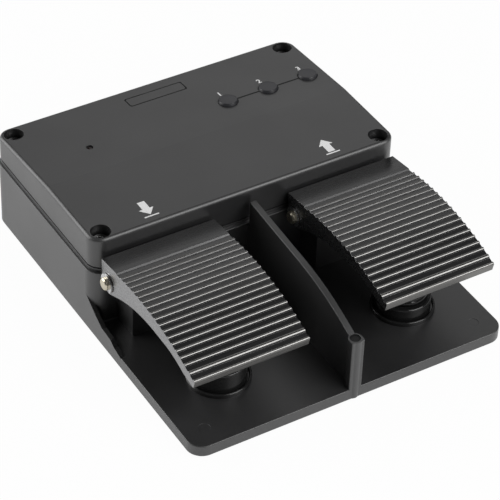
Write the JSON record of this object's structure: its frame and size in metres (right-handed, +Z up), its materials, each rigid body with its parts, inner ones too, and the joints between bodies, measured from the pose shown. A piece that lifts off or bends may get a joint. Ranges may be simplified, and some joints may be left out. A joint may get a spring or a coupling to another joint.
{
  "type": "foot pedal remote",
  "caption": "Low foot control box with ribbed rocker pedals each side of a dividing wall, rubber boots under them, and preset push buttons on its sloped cover.",
  "frame": {"origin": "on the floor under the middle of the part's bounding box", "axes": "+X to the user's right, +Y from the user to the back of the part, +Z up"},
  "size_m": [0.2132, 0.2533, 0.0718],
  "materials": {
    "black_steel": "black oxide steel",
    "board_laminate": "green circuit board",
    "boot_rubber": "black moulded rubber",
    "bush_bronze": "sintered bronze",
    "button_plastic": "black satin plastic",
    "cable_sheath": "black cable sheath",
    "case_coat": "die-cast aluminium with a black, finely textured powder coat",
    "chip_black": "moulded package",
    "clip_steel": "bright spring steel",
    "foot_rubber": "black rubber foot",
    "header_plastic": "natural nylon",
    "insert_brass": "turned brass",
    "led_plastic": "light source",
    "lens_plastic": "dark clear plastic",
    "magnet_nickel": "nickel plated magnet",
    "pedal_anodised": "black anodised extrusion with machined ends",
    "pin_gold": "gold plated contacts",
    "pin_zinc": "yellow zinc plated steel",
    "plunger_plastic": "black acetal",
    "post_steel": "ground steel",
    "screw_steel": "zinc plated steel",
    "seal_rubber": "black rubber seal",
    "socket_metal": "nickel plated shell",
    "socket_plastic": "insulating block",
    "spring_steel": "spring wire",
    "switch_plastic": "moulded switch body"
  },
  "bodies": {
    "case": {"base_housing": "case_coat", "base_plate": "case_coat", "board_chips": "chip_black", "board_headers": "header_plastic", "board_screws": "screw_steel", "circuit_board": "board_laminate", "cover_gasket": "seal_rubber", "cover_inserts": "insert_brass", "cover_screws": "black_steel", "foot_screws": "screw_steel", "left_bellows": "boot_rubber", "left_boot_cuff": "boot_rubber", "left_boot_ring": "boot_rubber", "left_guide_post": "post_steel", "left_hinge_block": "case_coat", "left_hinge_pin": "pin_zinc", "left_pin_clips": "clip_steel", "left_return_spring": "spring_steel", "left_sensor_board": "board_laminate", "left_sensor_cable": "cable_sheath", "left_sensor_chips": "chip_black", "pedal_divider": "case_coat", "post_plug": "seal_rubber", "right_bellows": "boot_rubber", "right_boot_cuff": "boot_rubber", "right_boot_ring": "boot_rubber", "right_guide_post": "post_steel", "right_hinge_block": "case_coat", "right_hinge_pin": "pin_zinc", "right_pin_clips": "clip_steel", "right_return_spring": "spring_steel", "right_sensor_board": "board_laminate", "right_sensor_cable": "cable_sheath", "right_sensor_chips": "chip_black", "rubber_feet": "foot_rubber", "socket_cable": "cable_sheath", "socket_insert": "socket_plastic", "socket_nut": "socket_metal", "socket_pins": "pin_gold", "socket_shell": "socket_metal", "status_led": "led_plastic", "status_lens": "lens_plastic", "tact_switches": "switch_plastic", "top_cover": "case_coat"},
    "left_pedal_arm": {"left_pedal": "pedal_anodised", "left_bushes": "bush_bronze"},
    "right_pedal_arm": {"right_pedal": "pedal_anodised", "right_bushes": "bush_bronze"},
    "left_plunger_unit": {"left_plunger": "plunger_plastic", "left_sensor_magnet": "magnet_nickel"},
    "right_plunger_unit": {"right_plunger": "plunger_plastic", "right_sensor_magnet": "magnet_nickel"},
    "button_1": {"button_1_cap": "button_plastic", "button_1_stem": "switch_plastic"},
    "button_2": {"button_2_cap": "button_plastic", "button_2_stem": "switch_plastic"},
    "button_3": {"button_3_cap": "button_plastic", "button_3_stem": "switch_plastic"}
  },
  "joints": [
    {"name": "left_pedal_hinge", "type": "hinge", "parent": "case", "child": "left_pedal_arm", "pos_m": [-0.0636, -0.01405, 0.0479], "axis": [1, 0, 0], "range_deg": [0, 7.2], "stiffness_Nm_per_rad": 5, "springref_deg": -4.58},
    {"name": "left_plunger_slide", "type": "slide", "parent": "case", "child": "left_plunger_unit", "axis": [0, 0, -1], "range_m": [0, 0.00832], "stiffness_N_per_m": 150, "springref_m": -0.004, "deforming": ["left_bellows", "left_return_spring"]},
    {"name": "right_pedal_hinge", "type": "hinge", "parent": "case", "child": "right_pedal_arm", "pos_m": [0.0636, -0.01405, 0.0479], "axis": [1, 0, 0], "range_deg": [0, 9], "stiffness_Nm_per_rad": 5, "springref_deg": -4.58},
    {"name": "right_plunger_slide", "type": "slide", "parent": "case", "child": "right_plunger_unit", "axis": [0, 0, -1], "range_m": [0, 0.01036], "stiffness_N_per_m": 150, "springref_m": -0.004, "deforming": ["right_bellows", "right_return_spring"]},
    {"name": "button_1_press", "type": "slide", "parent": "case", "child": "button_1", "axis": [0, -0.0778, -0.997], "range_m": [0, 0.001], "stiffness_N_per_m": 1500, "springref_m": -0.0005},
    {"name": "button_2_press", "type": "slide", "parent": "case", "child": "button_2", "axis": [0, -0.0778, -0.997], "range_m": [0, 0.001], "stiffness_N_per_m": 1500, "springref_m": -0.0005},
    {"name": "button_3_press", "type": "slide", "parent": "case", "child": "button_3", "axis": [0, -0.0778, -0.997], "range_m": [0, 0.001], "stiffness_N_per_m": 1500, "springref_m": -0.0005}
  ],
  "couplings": [
    {"joint": "left_plunger_slide", "follows": "left_pedal_hinge", "m_per_rad": 0.06615},
    {"joint": "right_plunger_slide", "follows": "right_pedal_hinge", "m_per_rad": 0.06591}
  ]
}
